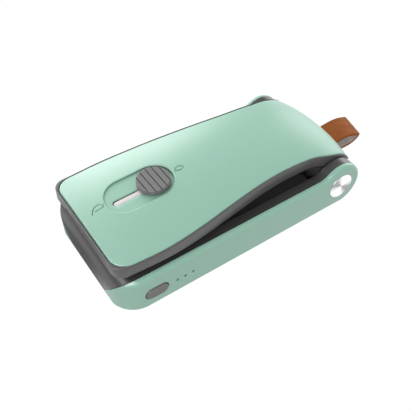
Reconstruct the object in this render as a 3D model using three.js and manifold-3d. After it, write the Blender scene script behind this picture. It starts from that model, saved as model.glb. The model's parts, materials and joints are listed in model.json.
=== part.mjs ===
// Handheld bag heat sealer: a rechargeable clamp that welds and cuts plastic bags.
// Units are millimetres, +Z is up and the base stands on z = 0. The jaws are at -X, the
// hinge is at +X, and the power button is on the -Y side.
import * as THREE from 'three';
import { mergeVertices } from 'three/addons/utils/BufferGeometryUtils.js';
import Module from 'manifold-3d';

const wasm = await Module();
wasm.setup();
const { degToRad, radToDeg, smoothstep } = THREE.MathUtils;

// ---- driving dimensions ----
const gap = 0.3;
const seam = 0.25;
// Farther out than any face, for tools that cut right through.
const through = 70;
const hinge = { x: 45.5, z: 10, earRadius: 10.2, shaftRadius: 2, shaftHalfLength: 26.7 };
const cap = { radius: 5.6, innerY: 27.1, depth: 1.5, edge: 0.35, pocketY: 27, clearance: 0.2 };
const knuckle = { radius: 7.6, innerY: 15, outerY: 20.8, bushRadius: 3.4, bushClearance: 0.25 };
const base = {
  frontX: -55, halfWidth: 28.4, bottomZ: 0.3, wallTopZ: 16, shoulder: 1.5, wall: 2.2, floorTopZ: 2.1,
  cornerRadius: 10.3, noseRadius: 9, footRadius: 2, earFillet: 8, rearX: 56, rearRadius: 2.5,
};
const nose = { rearX: -43.9, outerY: 27.63, outerZ: 17.6, slope: 1.12 };
const deck = { undersideZ: 12, recessZ: 14, recessFrontX: -41, rearX: 34, cheekInnerY: 22.4, beamRearX: 30 };
const deckPocket = { frontX: -50, rearX: -43, y0: -17.6, y1: 14.5, bottomZ: 8, wellHalfWidth: 20 };
const rearWall = { frontX: 30, innerRadius: 8.4, topZ: 11.5, halfWidth: 22.1 };
const arm = {
  headHalfWidth: 26.2, neckHalfWidth: 20.6, rearHalfWidth: 21.8, edgeRadius: 10.8, endAngle: 68,
  cornerRadius: 6.8, coverThickness: 1.4, plateThickness: 1.2, crownPower: 2.2, wall: 2.2,
};
const cover = { side: 0.8, front: 0.8, rear: 1 };
const slider = {
  tilt: degToRad(2), x: -23.3, floorZ: 27.45, travel: 11.5, knobRadius: 6.5, knobHeight: 1.45,
  knobEdge: 0.4, grooves: 5, groovePitch: 2.4, grooveWidth: 0.36, grooveDepth: 0.35,
  recessRadius: 7.35, slotFrontX: -40.5, slotRearX: -17.5, slotHalfWidth: 1.2,
};
const knobLeg = { halfLength: 5, y0: 0.5, y1: 0.95, depth: 1.5 };
const slotFloor = { margin: 0.5, y0: -0.95, y1: 0.25, bottom: 1.2, top: 0.5 };
const boss = { frontX: -44.5, rearX: -13, halfWidth: 9.5, depth: 1.3 };
const carriage = { frontX: -30.5, rearX: -15.5, y0: -5, bottom: 2.9, top: 2, bladeTopZ: 23.4 };
const tongue = { frontX: -40, rearX: -27, z: 22.5, y0: 6.6, y1: 10.4 };
const cutter = {
  drop: 2.2, bladeX: -51.2, bladeHalfThickness: 0.3, y0: 4.4, y1: 12.6, bottomZ: 20.5, topZ: 22,
  headRearX: -47, tailRearX: -36.2, grooveHalfWidth: 0.9, grooveMargin: 0.9, grooveBottomZ: 11.8,
};
const bladeEdge = { inset: 0.6, pointInset: 2.6, topZ: 21.9, bottomZ: 19.6, pointZ: 18.6, heelZ: 19.8 };
const heater = {
  frontX: -48.6, rearX: -44.4, y0: -17, y1: 0, blockZ: [12.6, 15], wireZ: [15.2, 15.45],
  wireInset: 1, filmZ: [15.75, 16.05],
};
const pad = { z: [18.1, 19.2], holderZ: [20, 21], holderMargin: 1, holderRear: 1.4 };
const button = {
  x: -40.8, z: 7, length: 9, height: 4.8, proud: 0.5, travel: 0.7,
  innerY: -26, flange: 1.1, flangeY: [-25.9, -25.2], stemHalfWidth: 1,
};
const buttonPocket = { halfLength: 6, innerY: -24.1, z: [3.2, 11] };
const tactSwitch = { x: [-43.2, -38.4], y: [-24.2, -21], z: [5.9, 9.2], plungerRadius: 1.2, plungerY: -24.4 };
const lamp = { firstX: -32.3, pitch: 3.35, z: 6.9, radius: 0.5, innerY: -24.5, sunk: 0.05, clearance: 0.25 };
const port = { x: -30, z: 7.4, length: 9, height: 3.3, innerY: 20.5, outerY: 28.1, wall: 0.4, depthY: 22 };
const strap = {
  halfWidth: 6, thickness: 1.2, tipX: 78.4, neckX: 55.4, neckHalf: 0.15,
  pinX: 50.2, pinZ: 6.6, pinRadius: 1, pinHalfLength: 8,
};
const strapSlot = { frontX: 50, margin: 0.5, halfHeight: 2.3 };
const grip = { length: 84, width: 34, thickness: 0.6, recessMargin: 0.3, recessZ: 0.9 };
const battery = { x: 6, length: 48, width: 30, z: [3.4, 10.6] };
const board = { x: [-43, -21], halfWidth: 22, z: [4.4, 5.6] };
const screw = {
  headRadius: 1.9, headHeight: 0.8, shankRadius: 0.9, overlap: 0.3,
  holeRadius: 1.4, postRadius: 2.6, boreRadius: 1.3, boreTopZ: 9.5,
};
const baseScrews = {
  places: [[-17.4, 21.5], [-17.4, -21.5], [27, 19], [27, -19]],
  seatZ: 0.4, seatRadius: 2.2, sunkZ: 1.4, length: 8,
};
const armScrews = {
  places: [[-38, 19], [-38, -19], [18, 14], [18, -14]],
  postRadius: 2.2, boreRadius: 1.2, seatRadius: 2.3, sunk: 0.6, seat: 1.5, length: 4.6,
};
const hingeSpring = { leftY: -13.5, rightY: 9, radius: 3.1, length: 4.2, turns: 4.5, wireRadius: 0.4 };
const bladeSpring = { x: -46, y: 2.6, z: 21.4, radius: 0.8, length: 7, turns: 6, wireRadius: 0.18 };
const leadRadius = 0.45;

// ---- solids ----
const toSolid = (geometry) => {
  const bare = geometry.clone();
  bare.deleteAttribute('normal');
  bare.deleteAttribute('uv');
  const merged = mergeVertices(bare, 1e-4);
  const mesh = new wasm.Mesh({
    numProp: 3,
    vertProperties: new Float32Array(merged.attributes.position.array),
    triVerts: new Uint32Array(merged.index.array),
  });
  return new wasm.Manifold(mesh);
};

const toGeometry = (solid) => {
  const mesh = solid.getMesh();
  const geometry = new THREE.BufferGeometry();
  geometry.setAttribute('position', new THREE.BufferAttribute(mesh.vertProperties, 3));
  geometry.setIndex(new THREE.BufferAttribute(mesh.triVerts, 1));
  geometry.computeVertexNormals();
  return geometry;
};

const union = (...solids) => solids.reduce((sum, solid) => sum.add(solid));
const cut = (solid, ...tools) => tools.reduce((rest, tool) => rest.subtract(tool), solid);
const bothSides = (make) => union(make(-1), make(1));

const block = (x0, x1, y0, y1, z0, z1) => {
  const geometry = new THREE.BoxGeometry(x1 - x0, y1 - y0, z1 - z0);
  return toSolid(geometry.translate((x0 + x1) / 2, (y0 + y1) / 2, (z0 + z1) / 2));
};

// A block whose y range is mirrored for the -Y side.
const sideBlock = (side, x0, x1, y0, y1, z0, z1) =>
  block(x0, x1, Math.min(side * y0, side * y1), Math.max(side * y0, side * y1), z0, z1);

// Round rods along Y and along Z.
const rodY = (radius, x, z, y0, y1, segments = 24) => {
  const geometry = new THREE.CylinderGeometry(radius, radius, y1 - y0, segments);
  return toSolid(geometry.translate(x, (y0 + y1) / 2, z));
};

const rodZ = (radius, x, y, z0, z1, segments = 12) => {
  const geometry = new THREE.CylinderGeometry(radius, radius, z1 - z0, segments).rotateX(Math.PI / 2);
  return toSolid(geometry.translate(x, y, (z0 + z1) / 2));
};

const throughRodY = (radius, x, z, segments) => rodY(radius, x, z, -through, through, segments);

const extrude = (shape, depth, bevel = 0, curveSegments = 6) => {
  const geometry = new THREE.ExtrudeGeometry(shape, {
    depth: depth - 2 * bevel,
    curveSegments,
    bevelEnabled: bevel > 0,
    bevelSize: bevel,
    bevelThickness: bevel,
    bevelOffset: -bevel,
    bevelSegments: 1,
  });
  return geometry.translate(0, 0, bevel);
};

// Shapes drawn in XZ, XY and YZ, extruded along the remaining axis.
const extrudeY = (shape, y0, y1, bevel, segments) =>
  toSolid(extrude(shape, y1 - y0, bevel, segments).rotateX(Math.PI / 2).translate(0, y1, 0));
const extrudeZ = (shape, z0, z1, bevel, segments) =>
  toSolid(extrude(shape, z1 - z0, bevel, segments).translate(0, 0, z0));
const axesYZX = new THREE.Matrix4().makeBasis(
  new THREE.Vector3(0, 1, 0), new THREE.Vector3(0, 0, 1), new THREE.Vector3(1, 0, 0));
const extrudeX = (shape, x0, x1) =>
  toSolid(extrude(shape, x1 - x0).applyMatrix4(axesYZX).translate(x0, 0, 0));

const polygon = (points) => new THREE.Shape(points.map(([a, b]) => new THREE.Vector2(a, b)));

// A rectangle with half-round ends.
const pill = (centreA, centreB, length, height) => {
  const shape = new THREE.Shape();
  const reach = (length - height) / 2;
  shape.absarc(centreA + reach, centreB, height / 2, -Math.PI / 2, Math.PI / 2);
  shape.absarc(centreA - reach, centreB, height / 2, Math.PI / 2, 1.5 * Math.PI);
  return shape;
};

// A round wire bent along a path.
const wire = (path, radius, steps, sides = 6) => {
  const corners = Array.from({ length: sides }, (_, i) => {
    const angle = 2 * Math.PI * i / sides;
    return [radius * Math.cos(angle), radius * Math.sin(angle)];
  });
  const options = { steps, extrudePath: path, bevelEnabled: false };
  return toSolid(new THREE.ExtrudeGeometry(polygon(corners), options));
};

// A helix along the Y or the X axis.
class Coil extends THREE.Curve {
  constructor(start, axis, radius, length, turns) {
    super();
    Object.assign(this, { start, axis, radius, length, turns });
  }

  getPoint(t, target = new THREE.Vector3()) {
    const angle = 2 * Math.PI * this.turns * t;
    const [across, up] = [this.radius * Math.cos(angle), this.radius * Math.sin(angle)];
    const along = this.length * t;
    const place = this.axis === 'y' ? [across, along, up] : [along, across, up];
    return target.set(...place).add(this.start);
  }
}

// ---- the base's outer form ----
function baseProfile() {
  const shape = new THREE.Shape();
  const { frontX, bottomZ, wallTopZ, noseRadius, footRadius, earFillet } = base;
  const filletZ = wallTopZ + earFillet;
  const rise = filletZ - hinge.z;
  const filletX = hinge.x - Math.sqrt((hinge.earRadius + earFillet) ** 2 - rise ** 2);
  const meet = Math.atan2(rise, filletX - hinge.x);
  const heel = Math.asin((bottomZ - hinge.z) / hinge.earRadius);
  shape.moveTo(frontX + footRadius, bottomZ);
  shape.absarc(frontX + footRadius, bottomZ + footRadius, footRadius, -Math.PI / 2, Math.PI, true);
  shape.absarc(frontX + noseRadius, wallTopZ - noseRadius, noseRadius, Math.PI, Math.PI / 2, true);
  shape.absarc(filletX, filletZ, earFillet, -Math.PI / 2, meet - Math.PI, false);
  shape.absarc(hinge.x, hinge.z, hinge.earRadius, meet, heel, true);
  return shape;
}

function basePlan() {
  const shape = new THREE.Shape();
  const { halfWidth, cornerRadius, rearRadius } = base;
  const front = base.frontX + cornerRadius;
  const rear = base.rearX - rearRadius;
  shape.absarc(front, halfWidth - cornerRadius, cornerRadius, Math.PI, Math.PI / 2, true);
  shape.absarc(rear, halfWidth - rearRadius, rearRadius, Math.PI / 2, 0, true);
  shape.absarc(rear, rearRadius - halfWidth, rearRadius, 0, -Math.PI / 2, true);
  shape.absarc(front, cornerRadius - halfWidth, cornerRadius, -Math.PI / 2, -Math.PI, true);
  return shape;
}

const profileSegments = 10;
const innerY = base.halfWidth - base.wall;
const frameY = innerY - gap;
const cavityX = nose.rearX + gap;
const baseBody = extrudeY(baseProfile(), -base.halfWidth, base.halfWidth, base.shoulder, profileSegments)
  .intersect(extrudeZ(basePlan(), -through, through, 0, 8));
const shaftBore = throughRodY(hinge.shaftRadius + gap, hinge.x, hinge.z);
const lampX = [0, 1, 2].map((i) => lamp.firstX + i * lamp.pitch);
const gripPlan = (margin) => pill(0, 0, grip.length + 2 * margin, grip.width + 2 * margin);

// The nose insert is bounded by two planes that slope up and outwards, seen from the front.
function noseWedge(x0, x1, clearance) {
  const yAt = (z) => nose.outerY - (nose.outerZ - z) / nose.slope - clearance;
  const low = -1;
  const high = 30;
  const section = [[-yAt(low), low], [yAt(low), low], [yAt(high), high], [-yAt(high), high]];
  return extrudeX(polygon(section), x0, x1);
}

function baseShell() {
  const { floorTopZ, halfWidth } = base;
  const rearRound = rodY(rearWall.innerRadius, hinge.x, hinge.z, -innerY, innerY)
    .intersect(block(rearWall.frontX, through, -through, through, floorTopZ, through));
  const bay = union(
    block(cavityX, hinge.x, -innerY, innerY, floorTopZ, through),
    rearRound,
    block(hinge.x, through, -innerY, innerY, rearWall.topZ, through),
    bothSides((side) =>
      sideBlock(side, rearWall.frontX, through, rearWall.halfWidth, innerY, floorTopZ, through)),
  );
  const capPockets = bothSides((side) => {
    const [y0, y1] = side > 0 ? [cap.pocketY, through] : [-through, -cap.pocketY];
    return rodY(cap.radius + cap.clearance, hinge.x, hinge.z, y0, y1, 32);
  });
  const holeRound = ({ x, z, length, height }, y0, y1) =>
    extrudeY(pill(x, z, length + 2 * gap, height + 2 * gap), y0, y1);
  const wallHoles = union(
    holeRound(button, -through, 1 - innerY),
    holeRound(port, innerY - 1, through),
    ...lampX.map((x) => rodY(lamp.radius + lamp.clearance, x, lamp.z, -through, 1 - innerY, 12)),
  );
  const screwHoles = union(...baseScrews.places.map(([x, y]) => union(
    rodZ(screw.holeRadius, x, y, -1, floorTopZ + 1),
    rodZ(baseScrews.seatRadius, x, y, -1, baseScrews.sunkZ),
  )));
  const padRecess = extrudeZ(gripPlan(grip.recessMargin), -1, grip.recessZ);
  const strapHalf = strap.halfWidth + strapSlot.margin;
  const strapOpening = block(strapSlot.frontX, through, -strapHalf, strapHalf,
    strap.pinZ - strapSlot.halfHeight, strap.pinZ + strapSlot.halfHeight);
  const pocket = block(button.x - buttonPocket.halfLength, button.x + buttonPocket.halfLength,
    -innerY - 0.1, buttonPocket.innerY, ...buttonPocket.z);
  return cut(baseBody, bay, noseWedge(-through, cavityX, 0), capPockets, shaftBore, wallHoles,
    screwHoles, padRecess, strapOpening, pocket);
}

function baseFrame() {
  const floor = base.floorTopZ + gap;
  const join = 0.1;
  const plainBody = extrudeY(baseProfile(), -frameY, frameY, 0, profileSegments);
  const tip = baseBody.intersect(noseWedge(-through, nose.rearX, gap));
  const tipToDeck = baseBody
    .intersect(noseWedge(nose.rearX - join, deck.recessFrontX, gap))
    .intersect(block(-through, through, -frameY, frameY, floor, through));
  const deckBody = plainBody.intersect(block(cavityX + gap, through, -frameY, frameY, floor, through));
  const { cheekInnerY, undersideZ, rearX, beamRearX } = deck;
  const { wellHalfWidth } = deckPocket;
  const hollow = union(
    block(cavityX + gap - join, beamRearX, -through, through, -1, undersideZ),
    block(deckPocket.frontX, deckPocket.rearX, deckPocket.y0, deckPocket.y1, deckPocket.bottomZ, undersideZ),
    block(cavityX, beamRearX, -wellHalfWidth, wellHalfWidth, -1, undersideZ),
    block(deck.recessFrontX, through, -cheekInnerY, cheekInnerY, deck.recessZ, through),
    block(rearX, through, -cheekInnerY, cheekInnerY, -1, through),
    block(beamRearX - 1, through, -cheekInnerY, cheekInnerY, -1, undersideZ),
  );
  const heaterWindow = block(heater.frontX - gap, heater.rearX + gap, heater.y0 - gap, heater.y1 + gap,
    deckPocket.bottomZ - 1, through);
  const bladeGroove = block(
    cutter.bladeX - cutter.grooveHalfWidth, cutter.bladeX + cutter.grooveHalfWidth,
    cutter.y0 - cutter.grooveMargin, cutter.y1 + cutter.grooveMargin, cutter.grooveBottomZ, through,
  );
  const posts = union(...baseScrews.places.map(([x, y]) => cut(
    rodZ(screw.postRadius, x, y, floor, undersideZ + 0.5),
    rodZ(screw.boreRadius, x, y, 0, screw.boreTopZ),
  )));
  return cut(union(tip, tipToDeck, deckBody), hollow, heaterWindow, bladeGroove, shaftBore).add(posts);
}

// ---- the arm's form ----
// The cover's edge line, seen from the side, runs from the lip over the hinge and down behind it.
const edgePoints = [
  [-53.7, 23.5], [-46, 23.2], [-34, 23.3], [-20, 24], [-6, 25],
  [10, 25.6], [24, 25.2], [34, 24.3], [42, 22.6],
];
const roundPoints = [25, 45, arm.endAngle].map((degrees) => {
  const angle = degToRad(degrees);
  return [hinge.x + arm.edgeRadius * Math.sin(angle), hinge.z + arm.edgeRadius * Math.cos(angle)];
});
const spine = new THREE.CatmullRomCurve3(
  [...edgePoints, ...roundPoints].map(([x, z]) => new THREE.Vector3(x, 0, z)), false, 'centripetal');
spine.arcLengthDivisions = 800;
const spineLength = spine.getLength();
const edgeLine = spine.getPoints(200);
const edgeZ = (x) =>
  edgeLine.reduce((best, point) => (Math.abs(point.x - x) < Math.abs(best.x - x) ? point : best)).z;

const armHalfWidth = (x) => arm.headHalfWidth
  - (arm.headHalfWidth - arm.neckHalfWidth) * smoothstep(x, -36, 27)
  - 0.9 * (1 - smoothstep(x, -56, -34))
  + (arm.rearHalfWidth - arm.neckHalfWidth) * smoothstep(x, 35, 46);
const rimHeight = (x) => 5 + Math.max(0, 1 - (x / 36) ** 2);
const crownHeight = (x) => 1 + 3.3 * smoothstep(x, -60, -34) - 1.9 * smoothstep(x, -20, 50);

// A slab that follows the edge line: low and high give its two faces as heights above the
// line, and side gives how far it stays inside the arm's outline.
function armSlab({ side, front, rear = 0, low, high, along = 20, across = 8 }) {
  const start = front / spineLength;
  const end = 1 - rear / spineLength;
  const radius = arm.cornerRadius - side;
  const cornerSteps = 5;
  const geometry = new THREE.BoxGeometry(1, 1, 1, along, across, 1);
  const { position } = geometry.attributes;
  for (let i = 0; i < position.count; i += 1) {
    const step = Math.round((position.getX(i) + 0.5) * along);
    const turn = Math.min(step / cornerSteps, 1) * Math.PI / 2;
    const cornerEnd = start + radius / spineLength;
    const share = step <= cornerSteps
      ? start + radius * (1 - Math.cos(turn)) / spineLength
      : cornerEnd + (end - cornerEnd) * (step - cornerSteps) / (along - cornerSteps);
    const point = spine.getPointAt(share);
    const tangent = spine.getTangentAt(share);
    const halfWidthHere = armHalfWidth(point.x) - side - radius * (1 - Math.sin(turn));
    const v = 2 * position.getY(i);
    const height = (position.getZ(i) > 0 ? high : low)(point.x, v);
    position.setXYZ(i, point.x - tangent.z * height, v * halfWidthHere, point.z + tangent.x * height);
  }
  return toSolid(geometry);
}

const crown = (x, v) => crownHeight(x) * (1 - Math.abs(v) ** arm.crownPower);
const recessFloorZ = (x) => slider.floorZ + (x - slider.x) * Math.tan(slider.tilt);
const sloped = (points, y0, y1) => extrudeY(polygon(points), y0, y1);

// A flat layer parallel with the recess floor, between two depths below it.
const floorLayer = (x0, x1, y0, y1, lowDepth, highDepth) => sloped([
  [x0, recessFloorZ(x0) - lowDepth], [x1, recessFloorZ(x1) - lowDepth],
  [x1, recessFloorZ(x1) - highDepth], [x0, recessFloorZ(x0) - highDepth],
], y0, y1);

const plateTopZ = (x) => edgeZ(x) - rimHeight(x) + arm.plateThickness;

function armCover() {
  const skin = armSlab({ ...cover, low: (x, v) => crown(x, v) - arm.coverThickness, high: crown });
  const solidArm = armSlab({ ...cover, low: () => -arm.coverThickness, high: crown });
  const slideBoss = floorLayer(boss.frontX, boss.rearX, -boss.halfWidth, boss.halfWidth, boss.depth, -3)
    .intersect(solidArm);
  const postSpace = armSlab({ ...cover, low: () => -8, high: (x, v) => crown(x, v) - 0.3 });
  const screwPosts = union(...armScrews.places.map(([x, y]) =>
    rodZ(armScrews.postRadius, x, y, plateTopZ(x) + gap, through).intersect(postSpace)));
  const screwBores = union(...armScrews.places.map(([x, y]) =>
    rodZ(armScrews.boreRadius, x, y, 10, edgeZ(x) - 0.4)));
  const recessX = slider.x - slider.travel / 2;
  const recessPlan = pill(0, 0, slider.travel + 2 * slider.recessRadius, 2 * slider.recessRadius);
  const recess = extrudeZ(recessPlan, 0, 5, 0, 12)
    .rotate([0, -radToDeg(slider.tilt), 0])
    .translate([recessX, 0, recessFloorZ(recessX)]);
  const { slotFrontX, slotRearX, slotHalfWidth } = slider;
  const slotPlan = pill((slotFrontX + slotRearX) / 2, 0, slotRearX - slotFrontX, 2 * slotHalfWidth);
  return cut(union(skin, slideBoss, screwPosts), screwBores, recess, extrudeZ(slotPlan, 20, through, 0, 4));
}

function armFrame() {
  const plain = (settings) => armSlab({ across: 2, ...settings });
  const outer = plain({ side: 0, front: 0, low: (x) => -rimHeight(x), high: () => 0 });
  const rabbet = plain({
    side: cover.side - seam, front: cover.front - seam, rear: 0.6,
    low: () => -arm.coverThickness - gap, high: () => 6,
  });
  const pocket = plain({
    side: arm.wall, front: arm.wall, rear: 2, low: (x) => arm.plateThickness - rimHeight(x), high: () => 6,
  });
  const knuckles = bothSides((side) => {
    const [y0, y1] = side > 0 ? [knuckle.innerY, knuckle.outerY] : [-knuckle.outerY, -knuckle.innerY];
    return rodY(knuckle.radius, hinge.x, hinge.z, y0, y1, 32);
  });
  const low = 12;
  const plateWindow = (x0, x1, y0, y1) => block(x0 - gap, x1 + gap, y0 - gap, y1 + gap, low, 21.5);
  const screwHoles = union(...armScrews.places.map(([x, y]) => union(
    rodZ(screw.holeRadius, x, y, low, through),
    rodZ(armScrews.seatRadius, x, y, low, plateTopZ(x) - armScrews.sunk),
  )));
  return cut(
    cut(outer, rabbet, pocket).add(knuckles),
    throughRodY(knuckle.bushRadius + gap, hinge.x, hinge.z),
    plateWindow(cutter.bladeX - 0.5, cutter.headRearX, cutter.y0, cutter.y1),
    plateWindow(cutter.headRearX, cutter.tailRearX, tongue.y0, tongue.y1),
    plateWindow(heater.frontX, heater.rearX, heater.y0, heater.y1),
    screwHoles,
  );
}

// ---- the mode slider and the cutter it drives ----
// The sloping underside of the tongue pushes the cutter down by its drop over the full travel.
const ramp = (cutter.drop / slider.travel - Math.sin(slider.tilt)) / Math.cos(slider.tilt);
const tongueZ = (x) => tongue.z - ramp * (x - tongue.frontX);
const tongueY = [tongue.y0, tongue.y1];

function slideKnob() {
  const { knobRadius, knobHeight, knobEdge, grooveWidth, grooveDepth } = slider;
  const profile = [
    [0, 0], [knobRadius - knobEdge, 0], [knobRadius, knobEdge], [knobRadius, knobHeight - knobEdge],
    [knobRadius - knobEdge, knobHeight], [0, knobHeight],
  ].map(([r, z]) => new THREE.Vector2(r, z));
  const disc = toSolid(new THREE.LatheGeometry(profile, 40).rotateX(Math.PI / 2));
  const grooveBottom = knobHeight - grooveDepth;
  const grooves = union(...Array.from({ length: slider.grooves }, (_, i) => {
    const x = (i - (slider.grooves - 1) / 2) * slider.groovePitch;
    return block(x - grooveWidth / 2, x + grooveWidth / 2, -through, through, grooveBottom, through);
  }));
  const { halfLength, y0, y1, depth } = knobLeg;
  const leg = block(-halfLength, halfLength, y0, y1, -depth, 0.2);
  return cut(disc, grooves).add(leg);
}

function slideCarriage() {
  const { frontX, rearX, y0, bottom, top, bladeTopZ } = carriage;
  const plate = floorLayer(frontX, rearX, y0, tongue.y1, bottom, top);
  const postTop = (x) => recessFloorZ(x) - (bottom + top) / 2;
  const post = sloped([
    [frontX, tongueZ(frontX)], [tongue.rearX, tongueZ(tongue.rearX)],
    [tongue.rearX, postTop(tongue.rearX)], [frontX, postTop(frontX)],
  ], ...tongueY);
  const bladeRearX = frontX + 0.5;
  const blade = sloped([
    [tongue.frontX, tongueZ(tongue.frontX)], [bladeRearX, tongueZ(bladeRearX)],
    [bladeRearX, bladeTopZ], [tongue.frontX, bladeTopZ],
  ], ...tongueY);
  return union(plate, post, blade);
}

function bladeCarrier() {
  const { y0, y1, bottomZ, topZ, tailRearX, headRearX, bladeX, bladeHalfThickness } = cutter;
  const tailTop = (x) => tongueZ(x) - gap;
  const levelX = tongue.frontX + (tongue.z - gap - topZ) / ramp;
  const tailFrontX = headRearX - 0.2;
  const head = block(bladeX + bladeHalfThickness + gap, headRearX, y0, y1, bottomZ, topZ);
  const tail = sloped([
    [tailFrontX, bottomZ], [tailRearX, bottomZ], [tailRearX, tailTop(tailRearX)],
    [levelX, topZ], [tailFrontX, topZ],
  ], ...tongueY);
  return head.add(tail);
}

function cutterBlade() {
  const { y0, y1, bladeX, bladeHalfThickness } = cutter;
  const { inset, pointInset, topZ, bottomZ, pointZ, heelZ } = bladeEdge;
  const outline = polygon([
    [y0 + inset, topZ], [y0 + inset, bottomZ], [y0 + pointInset, pointZ],
    [y1 - inset, heelZ], [y1 - inset, topZ],
  ]);
  return extrudeX(outline, bladeX - bladeHalfThickness, bladeX + bladeHalfThickness);
}

function slotTrack() {
  const { margin, y0, y1, bottom, top } = slotFloor;
  return floorLayer(slider.slotFrontX + margin, slider.slotRearX - margin, y0, y1, bottom, top);
}

// ---- small parts ----
const frontFaceY = -base.halfWidth;

function powerButton() {
  const { x, z, length, height, proud, flange, flangeY, stemHalfWidth } = button;
  const face = extrudeY(pill(x, z, length, height), frontFaceY - proud, button.innerY);
  const rim = extrudeY(pill(x, z, length + 2 * flange, height + 2 * flange), ...flangeY);
  const stem = block(x - stemHalfWidth, x + stemHalfWidth, button.innerY - 0.5, flangeY[1],
    z - stemHalfWidth, z + stemHalfWidth);
  return union(face, rim, stem);
}

function tactSwitchBody() {
  const { x, y, z, plungerRadius, plungerY } = tactSwitch;
  return block(...x, ...y, ...z).add(rodY(plungerRadius, button.x, button.z, plungerY, y[0] + 0.1, 12));
}

function hingeCap(side) {
  const { radius, depth, edge, innerY: y } = cap;
  const profile = [[0, 0], [radius, 0], [radius, depth - edge + 0.05], [radius - edge, depth], [0, depth]];
  const geometry = new THREE.LatheGeometry(profile.map(([r, d]) => new THREE.Vector2(r, d)), 40);
  if (side < 0) geometry.rotateX(Math.PI);
  return toSolid(geometry.translate(hinge.x, side * y, hinge.z));
}

function returnSpring(startY) {
  const { radius, length, turns, wireRadius } = hingeSpring;
  const start = new THREE.Vector3(hinge.x, startY, hinge.z);
  return wire(new Coil(start, 'y', radius, length, turns), wireRadius, 36, 5);
}

function bladeReturnSpring() {
  const { x, y, z, radius, length, turns, wireRadius } = bladeSpring;
  return wire(new Coil(new THREE.Vector3(x, y, z), 'x', radius, length, turns), wireRadius, 36, 4);
}

function bush(side) {
  const y = side > 0 ? [knuckle.innerY, knuckle.outerY] : [-knuckle.outerY, -knuckle.innerY];
  return cut(
    rodY(knuckle.bushRadius, hinge.x, hinge.z, ...y),
    throughRodY(hinge.shaftRadius + knuckle.bushClearance, hinge.x, hinge.z),
  );
}

function usbPort() {
  const { x, z, length, height, innerY: rearY, outerY, wall, depthY } = port;
  return cut(
    extrudeY(pill(x, z, length - wall, height - wall), rearY, outerY),
    extrudeY(pill(x, z, length - 3 * wall, height - 3 * wall), depthY, through),
  );
}

// One closed strip that goes round the pin, out to the tip and back.
function leatherStrap() {
  const { thickness, halfWidth, tipX, neckX, neckHalf, pinX, pinZ, pinRadius } = strap;
  const loop = (offset) => {
    const shape = new THREE.Shape();
    const neck = neckHalf + offset;
    const turnX = tipX - thickness + offset;
    shape.moveTo(neckX, pinZ + neck);
    shape.bezierCurveTo(neckX + 5, pinZ + 2.6 + offset, turnX - 8, pinZ + 4 + offset, turnX, pinZ + 0.5);
    shape.bezierCurveTo(turnX - 3, pinZ - 3.4 - offset, neckX + 7, pinZ - 3.6 - offset, neckX, pinZ - neck);
    shape.absarc(pinX, pinZ, pinRadius + gap + offset, -Math.PI / 3, Math.PI / 3, true);
    shape.closePath();
    return shape;
  };
  const outer = extrudeY(loop(thickness), -halfWidth, halfWidth, 0, 9);
  const inner = extrudeY(loop(0), -through, through, 0, 9);
  return outer.subtract(inner);
}

function countersunkScrew(x, y, seatZ, length) {
  const { headRadius, headHeight, shankRadius, overlap } = screw;
  const head = rodZ(headRadius, x, y, seatZ, seatZ + headHeight);
  return head.add(rodZ(shankRadius, x, y, seatZ + headHeight - overlap, seatZ + length, 10));
}

const route = (points) => new THREE.CatmullRomCurve3(points.map((point) => new THREE.Vector3(...point)));
const leads = {
  battery_lead_1: route([[-18.6, 6, 9], [-20, 6.5, 8.2], [-22, 7, 7.2], [-24, 7, 6.6]]),
  battery_lead_2: route([[-18.6, 9, 9], [-20, 9.5, 8.2], [-22, 10, 7.2], [-24, 10, 6.6]]),
  heater_lead_1: route([[-43.6, -14, 10.4], [-42, -13.5, 10], [-40, -12.5, 8.5], [-38, -12, 6.9]]),
  heater_lead_2: route([[-43.6, -4, 10.4], [-42, -4.5, 10], [-40, -5.5, 8.5], [-38, -6, 6.9]]),
};

// ---- assembly ----
const looks = {
  mint: { color: 0xa2ccb8, roughness: 0.5, metalness: 0 },
  darkGrey: { color: 0x6b6a6a, roughness: 0.45, metalness: 0 },
  midGrey: { color: 0x7c7b7b, roughness: 0.5, metalness: 0 },
  paleStrip: { color: 0xd8d6d2, roughness: 0.5, metalness: 0 },
  steel: { color: 0xc9cbcd, roughness: 0.3, metalness: 1 },
  leather: { color: 0x9a5f38, roughness: 0.65, metalness: 0 },
  silicone: { color: 0x4a4a4c, roughness: 0.8, metalness: 0 },
  ceramic: { color: 0xe9e4da, roughness: 0.7, metalness: 0 },
  film: { color: 0x9a7a4e, roughness: 0.6, metalness: 0 },
  cell: { color: 0x9aa2aa, roughness: 0.5, metalness: 0.2 },
  board: { color: 0x2c6b4a, roughness: 0.5, metalness: 0 },
  lens: { color: 0x2e3432, roughness: 0.2, metalness: 0 },
  brass: { color: 0xb99a5b, roughness: 0.4, metalness: 1 },
  redWire: { color: 0xa83a32, roughness: 0.6, metalness: 0 },
  blackWire: { color: 0x2b2b2d, roughness: 0.6, metalness: 0 },
};

function piece(name, look, solid) {
  const mesh = new THREE.Mesh(toGeometry(solid), new THREE.MeshStandardMaterial(looks[look]));
  mesh.name = name;
  return mesh;
}

const heaterLayer = (z, inset = 0) =>
  block(heater.frontX + inset, heater.rearX - inset, heater.y0, heater.y1, ...z);
const strapPin = rodY(strap.pinRadius, strap.pinX, strap.pinZ, -strap.pinHalfLength, strap.pinHalfLength, 16);
const shaft = rodY(hinge.shaftRadius, hinge.x, hinge.z, -hinge.shaftHalfLength, hinge.shaftHalfLength);

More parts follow.
